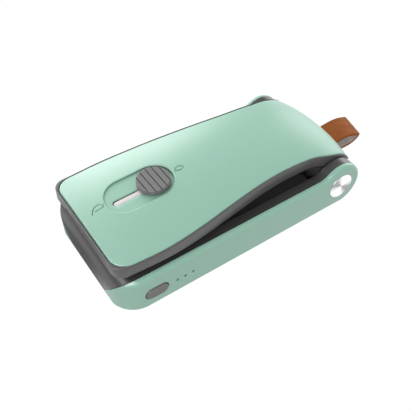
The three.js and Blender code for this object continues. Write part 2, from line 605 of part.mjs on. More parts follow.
const baseGroup = new THREE.Group();
baseGroup.add(
  piece('base_shell', 'mint', baseShell()),
  piece('base_frame', 'darkGrey', baseFrame()),
  piece('grip_pad', 'silicone', extrudeZ(gripPlan(0), 0, grip.thickness)),
  piece('heater_block', 'ceramic', heaterLayer(heater.blockZ)),
  piece('heating_element', 'steel', heaterLayer(heater.wireZ, heater.wireInset)),
  piece('heater_film', 'film', heaterLayer(heater.filmZ)),
  piece('battery', 'cell', extrudeZ(pill(battery.x, 0, battery.length, battery.width), ...battery.z)),
  piece('circuit_board', 'board', block(...board.x, -board.halfWidth, board.halfWidth, ...board.z)),
  piece('usb_port', 'steel', usbPort()),
  piece('tact_switch', 'steel', tactSwitchBody()),
  piece('hinge_shaft', 'steel', shaft),
  piece('hinge_cap_left', 'steel', hingeCap(-1)),
  piece('hinge_cap_right', 'steel', hingeCap(1)),
  piece('return_spring_left', 'steel', returnSpring(hingeSpring.leftY)),
  piece('return_spring_right', 'steel', returnSpring(hingeSpring.rightY)),
  piece('strap_pin', 'steel', strapPin),
  piece('leather_strap', 'leather', leatherStrap()),
);
lampX.forEach((x, i) => {
  const pipe = rodY(lamp.radius, x, lamp.z, frontFaceY + lamp.sunk, lamp.innerY, 12);
  baseGroup.add(piece(`light_pipe_${i + 1}`, 'lens', pipe));
});
baseScrews.places.forEach(([x, y], i) => {
  const fixing = countersunkScrew(x, y, baseScrews.seatZ, baseScrews.length);
  baseGroup.add(piece(`base_screw_${i + 1}`, 'steel', fixing));
});
Object.entries(leads).forEach(([name, path]) => {
  baseGroup.add(piece(name, name.endsWith('1') ? 'redWire' : 'blackWire', wire(path, leadRadius, 10)));
});

const holder = block(
  heater.frontX - pad.holderMargin, heater.rearX + pad.holderRear,
  heater.y0 - pad.holderMargin, heater.y1 + pad.holderMargin, ...pad.holderZ,
);
const cutterGroup = new THREE.Group();
cutterGroup.add(
  piece('blade_carrier', 'midGrey', bladeCarrier()),
  piece('cutter_blade', 'steel', cutterBlade()),
);

const knob = piece('slide_knob', 'midGrey', slideKnob());
knob.position.set(slider.x, 0, slider.floorZ + gap);
knob.rotation.y = -slider.tilt;
const sliderGroup = new THREE.Group();
sliderGroup.add(knob, piece('slide_carriage', 'paleStrip', slideCarriage()));

const armGroup = new THREE.Group();
armGroup.add(
  piece('arm_cover', 'mint', armCover()),
  piece('arm_frame', 'darkGrey', armFrame()),
  piece('slot_track', 'paleStrip', slotTrack()),
  piece('press_pad', 'silicone', heaterLayer(pad.z)),
  piece('pad_holder', 'midGrey', holder),
  piece('hinge_bush_left', 'brass', bush(-1)),
  piece('hinge_bush_right', 'brass', bush(1)),
  piece('blade_return_spring', 'steel', bladeReturnSpring()),
  cutterGroup,
  sliderGroup,
);
armScrews.places.forEach(([x, y], i) => {
  const fixing = countersunkScrew(x, y, plateTopZ(x) - armScrews.seat, armScrews.length);
  armGroup.add(piece(`arm_screw_${i + 1}`, 'steel', fixing));
});

const sealer = new THREE.Group();
sealer.add(baseGroup, armGroup, piece('power_button', 'midGrey', powerButton()));

export default sealer;
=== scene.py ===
"""Looks of the handheld bag heat sealer.

Shapes are built in millimetres in the CAD model's frame: the nose points to -X, the hinge line
runs along Y at the rear, the button's side is -Y and Z is up. place_piece() brings them to metres.
"""
import json
from math import acos, cos, hypot, pi, radians, sin, sqrt, tan
from types import SimpleNamespace as Group

import bmesh
import bpy
import numpy as np
from mathutils import Matrix, Vector
from mathutils.geometry import delaunay_2d_cdt


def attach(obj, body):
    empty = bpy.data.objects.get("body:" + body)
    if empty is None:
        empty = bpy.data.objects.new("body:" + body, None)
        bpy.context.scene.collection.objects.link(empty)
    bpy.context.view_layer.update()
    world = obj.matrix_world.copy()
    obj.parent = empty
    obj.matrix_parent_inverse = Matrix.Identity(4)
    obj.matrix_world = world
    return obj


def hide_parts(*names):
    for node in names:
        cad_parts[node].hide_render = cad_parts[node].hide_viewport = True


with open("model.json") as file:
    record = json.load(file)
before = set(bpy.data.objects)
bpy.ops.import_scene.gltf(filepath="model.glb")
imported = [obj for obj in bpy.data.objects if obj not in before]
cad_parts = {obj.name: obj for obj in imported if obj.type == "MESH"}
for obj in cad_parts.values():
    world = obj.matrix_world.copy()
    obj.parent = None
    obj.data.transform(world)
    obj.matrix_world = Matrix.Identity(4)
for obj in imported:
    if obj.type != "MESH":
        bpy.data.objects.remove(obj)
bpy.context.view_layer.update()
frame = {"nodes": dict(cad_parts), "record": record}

MM = 0.001
SIDES = (-1, 1)
GAP = 0.3  # round a piece that moves
SEAM = 0.16  # between two fixed pieces
# Clear of the part on each side, for tools that cut right through.
AHEAD, BEHIND, ASIDE, ABOVE, BELOW = -60, 60, 30, 30, -1

BASE = Group(front=-55.0, half_width=28.4, bottom=0.3, wall_top=16.0, wall=2.2, floor_top=2.1,
             corner=10.3, nose=9.0, foot=1.1, under_fillet=0.9, ear_fillet=8.0, ear_rim=1.5,
             bay_front=30, bay_radius=8.4, rear_wall_top=11.5, in_wall=25)
HINGE = Group(x=45.5, z=10.0, ear=10.1, ear_z=9.65, shaft=2.0, cap=5.6, cap_seat=27, cap_height=1.5)
NOSE = Group(rear=-43.9, outer_y=27.63, outer_z=17.6, slope=1.12)
DECK = Group(underside=12.0, recess=14.0, recess_front=-41.0, rear=34.0, cheek=22.4,
             rear_hollow=29, window_bottom=7,
             hollows=((-43.4, 30, -30, 30, -1), (-50, -43, -17.6, 14.5, 8), (-43.6, 30, -20, 20, -1)))
ARM = Group(head=26.2, neck=20.6, rear=21.8, ledge=0.6, seam=0.28, corner=6.8, rim_corner=4.6,
            thickness=1.4, power=2.2, front=0.8, cover_rear=1.0, inner_corner=1.4, plate=1.2,
            window_low=12, window_high=21.5,
            notch=((-56, 14), (-56, 20.4), (-53.2, 20.4), (-53.2, 18.95), (-51.6, 18.95), (-51.6, 14)))
KNUCKLE = Group(radius=7.6, bore=3.7, inner_y=15, outer_y=20.8)
SLIDER = Group(x=-23.3, floor=27.45, tilt=radians(2), knob=6.5, height=1.45, groove_pitch=2.4,
               recess=8.15, recess_front=-42.7, recess_rear=-15.2, recess_y=1.15, sunk=0.75, knob_y=0.65,
               slot_front=-40.5, slot_rear=-17.5, slot=1.4, slot_y=0.25, underside=1.35)
HEATER = Group(front=-48.6, rear=-44.4, low_y=-17, high_y=0)
CUTTER = Group(groove=(-52.1, -50.3, 3.5, 13.5, 11.8),
               windows=((-52.0, -46.7, 4.1, 12.9), (-47.3, -35.9, 6.3, 10.7)))
BUTTON = Group(x=-40.8, z=7.0, length=9.0, height=4.8, proud=0.5, flange=2.2, clearance=0.76,
               pocket=6.0, pocket_y=-24.1, pocket_low=3.2, pocket_high=11)
PORT = Group(x=-30, z=7.4, length=9.0, height=3.3, clearance=0.44)
LAMP = Group(xs=[-32.3 + 3.35 * i for i in range(3)], z=6.9, radius=0.5, hole=0.6, inner_y=-24.5)
GRIP = Group(length=84.5, width=34.5, depth=0.9)
STRAP = Group(half_width=6.0, thickness=1.2, tip=78.4, neck=55.4, pin_x=50.2, pin_z=6.6, pin_radius=1.0,
              slot_front=50, slot_half_width=6.5, slot_half_height=2.3)
BASE_SCREWS = [(-17.4, 21.5), (-17.4, -21.5), (27.0, 19.0), (27.0, -19.0)]
ARM_SCREWS = [(-38, 19), (-38, -19), (18, 14), (18, -14)]
SCREW = Group(hole=1.4, seat=2.2, seat_top=1.4, arm_seat=2.3, arm_head=0.6, post=2.6, post_top=12.5,
              bore=1.3, bore_top=9.5)

# The arm's edge line in x, z; its last points turn round the hinge.
EDGE = [(-53.7, 23.5), (-46, 23.2), (-34, 23.3), (-20, 24), (-6, 25), (10, 25.6), (24, 25.2),
        (34, 24.3), (42, 22.6)]
EDGE += [(HINGE.x + 10.8 * sin(radians(a)), HINGE.z + 10.8 * cos(radians(a))) for a in (25, 45, 64)]

# Finishes: colour, roughness, change of tint and what differs from the defaults of finish_material.
FINISHES = {
    "mint_plastic": ((155, 202, 181), 0.36, 0.008, dict(coat=0.3)),
    # painted shade: a darker mint for the engraved grooves and the recess walls
    "painted_shade_mint": ((112, 150, 132), 0.5, 0.01, {}),
    "dark_plastic": ((86, 85, 85), 0.34, 0.03, dict(coat=0.25)),
    "frame_plastic": ((66, 65, 65), 0.34, 0.03, dict(coat=0.5, specular=0.4)),
    "grey_plastic": ((118, 117, 117), 0.5, 0.03, {}),
    "pale_plastic": ((226, 222, 220), 0.5, 0.02, {}),
    "steel": ((205, 207, 210), 0.3, 0.04, dict(metallic=1.0, tint_scale=900, grain=0.03)),
    "spun_steel": ((225, 225, 226), 0.24, 0.02, dict(metallic=1.0, tint_scale=300, grain=0.0)),
    "leather": ((150, 83, 28), 0.62, 0.16, dict(tint_scale=260, grain=0.5, grain_scale=2600, specular=0.2)),
    "suede": ((196, 186, 182), 0.9, 0.12, dict(tint_scale=700, grain=0.6, grain_scale=3000, specular=0.2)),
    "silicone": ((80, 80, 83), 0.75, 0.05, {}),
    "ceramic": ((235, 230, 220), 0.7, 0.03, dict(tint_scale=700)),
    "film": ((160, 128, 84), 0.55, 0.08, dict(tint_scale=900)),
    "cell": ((160, 168, 176), 0.4, 0.04, dict(metallic=0.2, tint_scale=200)),
    "board": ((50, 112, 80), 0.45, 0.12, dict(tint_scale=1200)),
    "lens": ((16, 22, 20), 0.5, 0.03, dict(specular=0.1)),
    "brass": ((190, 160, 96), 0.35, 0.05, dict(metallic=1.0, tint_scale=700)),
    "red_wire": ((176, 62, 52), 0.5, 0.05, {}),
    "black_wire": ((48, 48, 50), 0.5, 0.05, {}),
}
# Painted shadow of the arm on the frame along the deck: how dark it gets; the fades are in metres along x.
DECK_SHADE = Group(rgb=(60, 60, 60), coat=0.05, fades=((-0.044, -0.028), (0.046, 0.031)))

# The set, in metres. The reflected floor is dim inside an ellipse in front of the nose.
CAMERA = Group(azimuth=-33.542, elevation=47.466, roll=-0.835, distance=0.23846,
               target=(-0.0053, -0.00799, 0.010), lens=52.84)
FLOOR = Group(reach=60.0, z=-0.0001, strength=1.02, reflected_z=-0.0002)
DIM_FLOOR = Group(centre=(-0.02, 0.015), radii=(0.045, 0.035), fade=(0.85, 1.4), strength=(0.2, 1.08))
# Each light of the surroundings: its direction, then the range of the cosine and of the strength.
WORLD_LIGHTS = (
    ((-0.1, -0.36, 0.93), (-0.6, 0.8, 0.14, 0.67)),
    ((-0.05, 0.97, 0.25), (0.80, 0.97, 0.0, 3.8)),
    ((0.95, 0.30, 0.10), (0.86, 0.98, 0.0, 2.4)),
)
# Each disc light: name, position, target, size, energy and whether it lights more than reflections.
AREA_LIGHTS = (
    ("fill", (-0.40, -0.56, 0.42), (0, 0, 0), 0.4, 1.4, True),
    ("nose_glint", (-0.42, 0.34, 0.26), (-0.05, 0, 0.01), 0.16, 0.9, False),
    ("corner_glint", (-0.46, -0.12, 0.42), (-0.05, -0.02, 0.01), 0.5, 4.5, False),
)


# ---- meshes ----
def new_object(name, data):
    obj = bpy.data.objects.new(name, data)
    bpy.context.scene.collection.objects.link(obj)
    return obj


def new_mesh(name, vertices, faces):
    mesh = bpy.data.meshes.new(name)
    mesh.from_pydata([tuple(v) for v in vertices], [], [tuple(f) for f in faces])
    return new_object(name, mesh)


def edit(obj, change):
    """Runs change on the object's mesh as a bmesh."""
    bm = bmesh.new()
    bm.from_mesh(obj.data)
    change(bm)
    bm.to_mesh(obj.data)
    bm.free()


def turn_outwards(obj):
    edit(obj, lambda bm: bmesh.ops.recalc_face_normals(bm, faces=bm.faces))


class Surface:
    """Collects points and faces; loops of points are joined in bands and filled regions."""

    def __init__(self):
        self.points, self.faces = [], []

    def loop(self, points):
        first = len(self.points)
        self.points.extend(points)
        return list(range(first, len(self.points)))

    def band(self, loops):
        for a, b in zip(loops, loops[1:]):
            for i in range(len(a)):
                j = (i + 1) % len(a)
                self.faces.append((a[i], a[j], b[j], b[i]))

    def region(self, flat, outer, holes, spacing, height, fine=()):
        """Fills between loops of an arm face; flat gives the (s, y) of every boundary index.

        height is a function of s and y; fine lists boxes (s0, y0, s1, y1, step) that get a closer grid.
        """
        rings = [outer, *holes]
        boundary = [i for ring in rings for i in ring]
        edges, first = [], 0
        for ring in rings:
            edges += [(first + k, first + (k + 1) % len(ring)) for k in range(len(ring))]
            first += len(ring)
        outline = np.array([flat[i] for i in boundary])
        polygons = [np.array([flat[i] for i in ring]) for ring in rings]
        low, high = polygons[0].min(0), polygons[0].max(0)
        inner = grid(low, high, spacing)
        for x0, y0, x1, y1, step in fine:
            xs, ys = inner.T
            outside = ~((xs > x0) & (xs < x1) & (ys > y0) & (ys < y1))
            inner = np.vstack([inner[outside], grid((x0, y0), (x1, y1), step)])
        inner = inner[within(inner, polygons)]
        if len(inner):
            away = np.array([np.min(np.hypot(*(outline - p).T)) for p in inner])
            inner = inner[away > 0.45 * min([spacing] + [f[4] for f in fine])]
        flat_points = [Vector(p) for p in (*outline, *inner)]
        start = len(self.points)
        self.points.extend(arm_point(s, y, height(s, y)) for s, y in inner)
        index = boundary + list(range(start, start + len(inner)))
        found, _, triangles, origin, _, _ = delaunay_2d_cdt(flat_points, edges, [], 0, 1e-7)
        centres = np.array([sum((found[i] for i in t), Vector((0, 0))) / 3 for t in triangles])
        for triangle, kept in zip(triangles, within(centres, polygons)):
            if kept:
                self.faces.append([index[origin[i][0]] for i in triangle])

    def build(self, name):
        obj = new_mesh(name, self.points, self.faces)
        turn_outwards(obj)
        return obj


def grid(low, high, step):
    """Staggered rows of points inside a box."""
    xs = np.arange(low[0] + step / 2, high[0], step)
    ys = np.arange(low[1] + step / 2, high[1], step * 0.9)
    points = np.array([(x + (step / 2 if k % 2 else 0), y) for k, y in enumerate(ys) for x in xs])
    return points.reshape(-1, 2)


def within(points, polygons):
    """Even-odd test of points against a set of closed outlines."""
    inside = np.zeros(len(points), bool)
    if not len(points):
        return inside
    x, y = points[:, 0], points[:, 1]
    for polygon in polygons:
        for (x0, y0), (x1, y1) in zip(polygon, np.roll(polygon, -1, 0)):
            if y0 == y1:
                continue
            crosses = (y0 > y) != (y1 > y)
            inside ^= crosses & (x < (x1 - x0) * (y - y0) / (y1 - y0) + x0)
    return inside


def stack(name, rings):
    """A solid from rings of points one after the other, closed at both ends."""
    surface = Surface()
    loops = [surface.loop(ring) for ring in rings]
    surface.band(loops)
    surface.faces += [loops[0], loops[-1]]
    return surface.build(name)


def combine(obj, operation, *tools):
    """Applies boolean tools to obj one after the other and removes them."""
    for tool in tools:
        modifier = obj.modifiers.new("combine", "BOOLEAN")
        modifier.solver = "MANIFOLD"
        modifier.operation = operation
        modifier.object = tool
    graph = bpy.context.evaluated_depsgraph_get()
    mesh = bpy.data.meshes.new_from_object(obj.evaluated_get(graph))
    obj.modifiers.clear()
    mesh.materials.clear()
    obj.data = mesh
    for tool in tools:
        bpy.data.objects.remove(tool)
    return obj


def cut(obj, *tools):
    return combine(obj, "DIFFERENCE", *tools)


def join(obj, *tools):
    return combine(obj, "UNION", *tools)


def meet(obj, *tools):
    return combine(obj, "INTERSECT", *tools)


def copy_of(obj):
    return new_object("copy", obj.data.copy())


def along(axis, a, b, height):
    """A point from its height along the axis and its place in the two other axes, in order."""
    return {"x": (height, a, b), "y": (a, height, b), "z": (a, b, height)}[axis]


def prism(outline, axis, low, high):
    return stack("tool", [[along(axis, a, b, height) for a, b in outline] for height in (low, high)])


def block(x0, x1, y0, y1, z0, z1):
    return prism([(x0, y0), (x1, y0), (x1, y1), (x0, y1)], "z", z0, z1)


def circle(a, b, radius, count=96):
    angles = [2 * pi * i / count for i in range(count)]
    return [(a + radius * cos(angle), b + radius * sin(angle)) for angle in angles]


def arc(a, b, radius, start, end, count):
    angles = [radians(start + (end - start) * i / count) for i in range(count + 1)]
    return [(a + radius * cos(angle), b + radius * sin(angle)) for angle in angles]


def pill(a, b, length, height, count=24):
    """The outline of a slot with round ends."""
    reach, radius = (length - height) / 2, height / 2
    return arc(a + reach, b, radius, -90, 90, count) + arc(a - reach, b, radius, 90, 270, count)


def rod(axis, a, b, radius, low, high, count=96):
    return prism(circle(a, b, radius, count), axis, low, high)


def hinge_rod(radius, side=0, y0=0, y1=0, count=96):
    """A rod on the hinge line: from y0 to y1 on one side, or right through where side is 0."""
    low, high = sorted((side * y0, side * y1)) if side else (-ASIDE, ASIDE)
    return rod("y", HINGE.x, HINGE.z, radius, low, high, count)


def lathe(name, profile, axis, count=128, centre=(0, 0, 0)):
    """A closed profile of (radius, height) turned about an axis through centre."""
    rings = []
    for radius, height in profile:
        ring = [along(axis, a, b, height) for a, b in circle(0, 0, radius, count)]
        rings.append([tuple(c + p for c, p in zip(centre, point)) for point in ring])
    return stack(name, rings)


def rounding(radius, steps):
    """(inset, drop) of a quarter round, from the flat face to the full outline."""
    return [(radius * (1 - sin(t)), radius * (1 - cos(t))) for t in np.linspace(0, pi / 2, steps + 1)]


def smoothstep(x, low, high):
    t = min(1.0, max(0.0, (float(x) - low) / (high - low)))
    return t * t * (3 - 2 * t)


# ---- the base's outer form ----
def fillet_arc(corner, normal_a, normal_b, radius, steps=8):
    """Points of the rolling-ball fillet between two faces that meet at corner."""
    a, b = Vector(normal_a).normalized(), Vector(normal_b).normalized()
    cosine = max(-0.999, min(1.0, a.dot(b)))
    centre = Vector(corner) - radius * (a + b) / (1 + cosine)
    angle = acos(cosine)
    points = []
    for i in range(steps + 1):
        t = i / steps
        if angle < 1e-4:
            normal = a.lerp(b, t)
        else:
            normal = (sin((1 - t) * angle) * a + sin(t * angle) * b) / sin(angle)
        points.append(centre + radius * normal)
    return points


def on_round(run, radius):
    """Height over the middle of a circle, and its normal, at the distance run beside the middle."""
    height = sqrt(max(0.0, radius ** 2 - run ** 2))
    return height, (run / radius, height / radius)


def base_top(x):
    """Height and normal (x, z) of the base's top line."""
    front = BASE.front + BASE.nose
    top, fillet, radius = BASE.wall_top, BASE.ear_fillet, HINGE.ear
    rise = top + fillet - HINGE.ear_z
    fillet_x = HINGE.x - sqrt((radius + fillet) ** 2 - rise ** 2)
    meet_x = HINGE.x + (fillet_x - HINGE.x) * radius / (radius + fillet)
    if x < front:
        height, normal = on_round(x - front, BASE.nose)
        return top - BASE.nose + height, normal
    if x <= fillet_x:
        return top, (0, 1)
    if x < meet_x:
        height, normal = on_round(fillet_x - x, fillet)
        return top + fillet - height, normal
    height, normal = on_round(x - HINGE.x, radius)
    return HINGE.ear_z + height, normal


def base_bottom(x):
    """Height and normal (x, z) of the base's bottom line."""
    front = BASE.front + BASE.foot
    if x >= front:
        return BASE.bottom, (0, -1)
    height, (nx, nz) = on_round(x - front, BASE.foot)
    return BASE.bottom + BASE.foot - height, (nx, -nz)


def base_side(x):
    """Half width and normal (x, y) of the base's outline seen from above."""
    corner = BASE.front + BASE.corner
    if x >= corner:
        return BASE.half_width, (0, 1)
    width, normal = on_round(x - corner, BASE.corner)
    return BASE.half_width - BASE.corner + width, normal


def base_stations():
    """Where the sections of the base stand: round the front corner, along the side, up the ear."""
    corner, step = BASE.front + BASE.corner, 1.6
    fillet_start, fillet_end, ear_start = 33.9, 38.9, 128.5
    stations = [corner - BASE.corner * sin(radians(90 - 90 * i / 32)) for i in range(33)]
    stations += list(np.arange(corner + step, fillet_start, step))
    stations += list(np.linspace(fillet_start, fillet_end, 12))
    stations += [HINGE.x + HINGE.ear * cos(radians(a)) for a in np.linspace(ear_start, 90, 16)]
    return stations


def ear():
    """The round rear end of the base, turned about the middle of the ears."""
    side, radius = BASE.half_width, HINGE.ear
    bend = [(radius - inset, side - drop) for inset, drop in rounding(BASE.ear_rim, 8)]
    half = [(0.3, side)] + [(r, side) for r in (2, 4, 6, 8)] + bend
    profile = half + [(radius, y) for y in np.linspace(bend[-1][1], -bend[-1][1], 24)[1:-1]]
    profile += [(r, -y) for r, y in reversed(half)]
    disc = lathe("tool", profile, "y", 160, (HINGE.x, 0, HINGE.ear_z))
    lower = fillet_arc((side, BASE.bottom, 0), (1, 0, 0), (0, -1, 0), BASE.under_fillet)
    right = [(p.x, p.y) for p in lower]
    outline = [(-y, z) for y, z in right] + right[::-1] + [(side, ABOVE), (-side, ABOVE)]
    return meet(disc, prism(outline, "x", HINGE.x - 0.01, BEHIND))


def base_body():
    """The outer form that the shell and the frame share."""
    rings = []
    for x in base_stations():
        top, (top_x, top_z) = base_top(x)
        bottom, (bottom_x, bottom_z) = base_bottom(x)
        side, outward = base_side(x)
        shoulder = 2.5 - 0.5 * smoothstep(x, -46, -38) - 0.5 * smoothstep(x, 10, 32)
        upper = fillet_arc((x, side, top), (top_x, 0, top_z), (*outward, 0), shoulder)
        lower = fillet_arc((x, side, bottom), (*outward, 0), (bottom_x, 0, bottom_z), BASE.under_fillet)
        wall = [upper[-1].lerp(lower[0], i / 6) for i in range(1, 6)]
        right = upper + wall + lower
        left = [Vector((p.x, -p.y, p.z)) for p in reversed(right)]
        rings.append(right + left)
    body = stack("base_body", rings)
    edit(body, lambda bm: bmesh.ops.remove_doubles(bm, verts=bm.verts, dist=0.004))
    edit(body, lambda bm: bmesh.ops.dissolve_degenerate(bm, edges=bm.edges, dist=0.002))
    return join(body, ear())


def paint_cavity_shade(shell):
    """Gives the faces inside the base's cavity the second material, dark grey as painted shade."""
    inner = BASE.half_width - BASE.wall + 0.01
    for face in shell.data.polygons:
        x, y, z = face.center
        from_hinge = hypot(x - HINGE.x, z - HINGE.z)
        enclosed = x < HINGE.x - HINGE.ear or from_hinge < HINGE.ear - 0.8
        if x > NOSE.rear and abs(y) < inner and z > BASE.floor_top - 0.1 and enclosed:
            face.material_index = 1


def nose_wedge(x0, x1, clearance):
    """Narrower downwards: the slanting seam between the frame's nose and the shell."""
    def reach(z):
        return NOSE.outer_y - (NOSE.outer_z - z) / NOSE.slope - clearance
    low, high = reach(BELOW), reach(ABOVE)
    return prism([(-low, BELOW), (low, BELOW), (high, ABOVE), (-high, ABOVE)], "x", x0, x1)


def oval_hole(fitting, low, high):
    more = fitting.clearance
    return prism(pill(fitting.x, fitting.z, fitting.length + more, fitting.height + more), "y", low, high)


def heater_window(low, high):
    return block(HEATER.front - GAP, HEATER.rear + GAP, HEATER.low_y - GAP, HEATER.high_y + GAP, low, high)


def base_shell(body):
    inner = BASE.half_width - BASE.wall
    floor, bay = BASE.floor_top, BASE.bay_front
    cavity = NOSE.rear + SEAM
    shell = cut(copy_of(body), block(cavity, HINGE.x, -inner, inner, floor, ABOVE))
    rear_bay = meet(hinge_rod(BASE.bay_radius, 1, -inner, inner),
                    block(bay, BEHIND, -ASIDE, ASIDE, floor, ABOVE))
    shell = cut(shell, rear_bay, block(HINGE.x, BEHIND, -inner, inner, BASE.rear_wall_top, ABOVE))
    cheek = DECK.cheek - GAP
    shell = cut(shell, *[block(bay, BEHIND, *sorted((s * cheek, s * inner)), floor, ABOVE) for s in SIDES])
    shell = cut(shell, nose_wedge(AHEAD, cavity, 0))
    shell = cut(shell, *[hinge_rod(HINGE.cap + 0.12, s, HINGE.cap_seat, ASIDE, 128) for s in SIDES])
    shell = cut(shell, hinge_rod(HINGE.shaft + GAP))
    shell = cut(shell, oval_hole(BUTTON, -ASIDE, -BASE.in_wall), oval_hole(PORT, BASE.in_wall, ASIDE))
    shell = cut(shell, *[rod("y", x, LAMP.z, LAMP.hole, -ASIDE, -BASE.in_wall, 32) for x in LAMP.xs])
    for radius, top, count in ((SCREW.hole, 4, 32), (SCREW.seat, SCREW.seat_top, 48)):
        shell = cut(shell, *[rod("z", x, y, radius, BELOW, top, count) for x, y in BASE_SCREWS])
    shell = cut(shell, prism(pill(0, 0, GRIP.length, GRIP.width, 40), "z", BELOW, GRIP.depth))
    y, z, dz = STRAP.slot_half_width, STRAP.pin_z, STRAP.slot_half_height
    shell = cut(shell, block(STRAP.slot_front, BEHIND, -y, y, z - dz, z + dz))
    return cut(shell, block(BUTTON.x - BUTTON.pocket, BUTTON.x + BUTTON.pocket, -inner - 0.1,
                            BUTTON.pocket_y, BUTTON.pocket_low, BUTTON.pocket_high))


def base_frame(body):
    """The deck with its nose, side curbs, inner ear cheeks and screw posts."""
    side = BASE.half_width - BASE.wall - SEAM
    low, under, cheek = BASE.floor_top + GAP, DECK.underside, DECK.cheek
    tip = meet(copy_of(body), nose_wedge(AHEAD, NOSE.rear, SEAM))
    neck = meet(copy_of(body), nose_wedge(NOSE.rear - 0.1, -40, SEAM),
                block(-50, -39, -side, side, low, ABOVE))
    deck = meet(copy_of(body), block(NOSE.rear + 2 * SEAM, BEHIND, -side, side, low, ABOVE))
    form = join(tip, neck, deck)
    for hollow in DECK.hollows:
        form = cut(form, block(*hollow, under))
    form = cut(form, block(DECK.recess_front, BEHIND, -cheek, cheek, DECK.recess, ABOVE))
    form = cut(form, block(DECK.rear, BEHIND, -cheek, cheek, BELOW, ABOVE),
               block(DECK.rear_hollow, BEHIND, -cheek, cheek, BELOW, under))
    form = cut(form, heater_window(DECK.window_bottom, ABOVE), block(*CUTTER.groove, ABOVE))
    form = cut(form, hinge_rod(HINGE.shaft + GAP))
    posts = [cut(rod("z", x, y, SCREW.post, low, SCREW.post_top, 40),
                 rod("z", x, y, SCREW.bore, 0, SCREW.bore_top, 32)) for x, y in BASE_SCREWS]
    return join(form, *posts)


# ---- the arm's form ----
def catmull_rom(points, per_segment=60):
    """A centripetal Catmull-Rom curve through points, sampled densely."""
    points = np.array(points, float)
    padded = np.vstack([2 * points[0] - points[1], points, 2 * points[-1] - points[-2]])
    samples = []
    for p0, p1, p2, p3 in zip(padded, padded[1:], padded[2:], padded[3:]):
        d0, d1, d2 = (np.linalg.norm(b - a) ** 0.5 for a, b in ((p0, p1), (p1, p2), (p2, p3)))
        t1 = ((p1 - p0) / d0 - (p2 - p0) / (d0 + d1) + (p2 - p1) / d1) * d1
        t2 = ((p2 - p1) / d1 - (p3 - p1) / (d1 + d2) + (p3 - p2) / d2) * d1
        square = -3 * p1 + 3 * p2 - 2 * t1 - t2
        cube = 2 * p1 - 2 * p2 + t1 + t2
        samples += [p1 + t1 * u + square * u ** 2 + cube * u ** 3
                    for u in np.arange(per_segment) / per_segment]
    samples.append(points[-1])
    return np.array(samples)


spine = catmull_rom(EDGE)
spine_s = np.concatenate([[0], np.cumsum(np.hypot(*np.diff(spine, axis=0).T))])
spine_tangent = np.gradient(spine, spine_s, axis=0)
spine_tangent /= np.linalg.norm(spine_tangent, axis=1)[:, None]
LENGTH = spine_s[-1]


def on_spine(s):
    """x, z and the tangent's x, z at distance s along the arm's edge line."""
    return [float(np.interp(s, spine_s, column)) for column in (*spine.T, *spine_tangent.T)]


def s_at(x):
    return float(np.interp(x, spine[:, 0], spine_s))


def arm_point(s, y, height):
    """The point at distance s along the edge line and height square to it."""
    x, z, tx, tz = on_spine(s)
    return (x - tz * height, y, z + tx * height)


def arm_half_width(x):
    return (ARM.head - (ARM.head - ARM.neck) * smoothstep(x, -36, 27)
            - 0.9 * (1 - smoothstep(x, -56, -34)) + (ARM.rear - ARM.neck) * smoothstep(x, 35, 46))


def rim_height(x):
    """How far the dark rim hangs below the edge line."""
    return 5 + max(0.0, 1 - (x / 36) ** 2)


def crown_height(x):
    """How far the middle of the cover rises over the edge line."""
    return 1 + 3.3 * smoothstep(x, -60, -34) - 1.9 * smoothstep(x, -20, 50)


def width_at(s, side, start, end, rear_corner, corner=ARM.corner):
    """Half width of an arm outline that stays side inside the arm's own."""
    width = arm_half_width(on_spine(s)[0]) - side
    radius = corner - side
    for near, r in ((s - start, radius), (end - s, rear_corner)):
        if near < r:
            width -= r - sqrt(max(0.0, r * r - (r - near) ** 2))
    return width


def arm_outline(side, start, end, rear_corner, corner=ARM.corner):
    """The closed (s, y) outline of an arm slab, with rounded corners."""
    radius, step = corner - side, 1.1
    stations = [start + radius * (1 - cos(radians(90 * i / 20))) for i in range(21)]
    count = int((end - rear_corner - stations[-1]) / step)
    stations += list(np.linspace(stations[-1], end - rear_corner, count + 1)[1:])
    stations += [end - rear_corner * (1 - cos(radians(90 - 90 * i / 8))) for i in range(1, 9)]
    edge = [(s, width_at(s, side, start, end, rear_corner, corner)) for s in stations]
    front = [(start, y) for y in np.linspace(0, edge[0][1], 18)[:-1]]
    back = [(end, y) for y in np.linspace(edge[-1][1], 0, 18)[1:]]
    half = front + edge + back
    return np.array(half + [(s, -y) for s, y in half[-2:0:-1]])


def normals(line):
    """Unit normals of a closed line, on its left."""
    direction = np.roll(line, -1, 0) - np.roll(line, 1, 0)
    direction /= np.linalg.norm(direction, axis=1)[:, None]
    return np.stack([-direction[:, 1], direction[:, 0]], 1)


def offset(outline, distance):
    """The outline moved inwards by distance."""
    ahead = np.roll(outline, -1, 0)
    area = np.sum(outline[:, 0] * ahead[:, 1] - ahead[:, 0] * outline[:, 1])
    return outline + np.sign(area) * normals(outline) * distance


def arm_slab(name, side, start, end, rear_corner, rims, low, high, corner=ARM.corner):
    """A slab between two heights; rims lists (inset, which face, drop) from the lower face to the upper."""
    surface = Surface()
    outline = arm_outline(side, start, end, rear_corner, corner)
    loops, flats = [], []
    for inset, face, drop in rims:
        flat = offset(outline, inset)
        height = low if face == "low" else high
        loops.append(surface.loop([arm_point(s, y, height(s, y) + drop) for s, y in flat]))
        flats.append(flat)
    surface.band(loops)
    for k, face in ((0, low), (-1, high)):
        flat = dict(zip(loops[k], flats[k]))
        surface.region(flat, loops[k], [], 2.0, face)
    return surface.build(name)


def level(height):
    """A flat face for arm_slab."""
    return lambda s, y: height


def recess_floor_z(x):
    return SLIDER.floor + (x - SLIDER.x) * tan(SLIDER.tilt)


def recess_height(s):
    """Height of the recess floor over the arm's edge line."""
    x, z, tx, tz = on_spine(s)
    slope = tan(SLIDER.tilt)
    return (recess_floor_z(x) - SLIDER.sunk - z) / (tx + tz * slope)


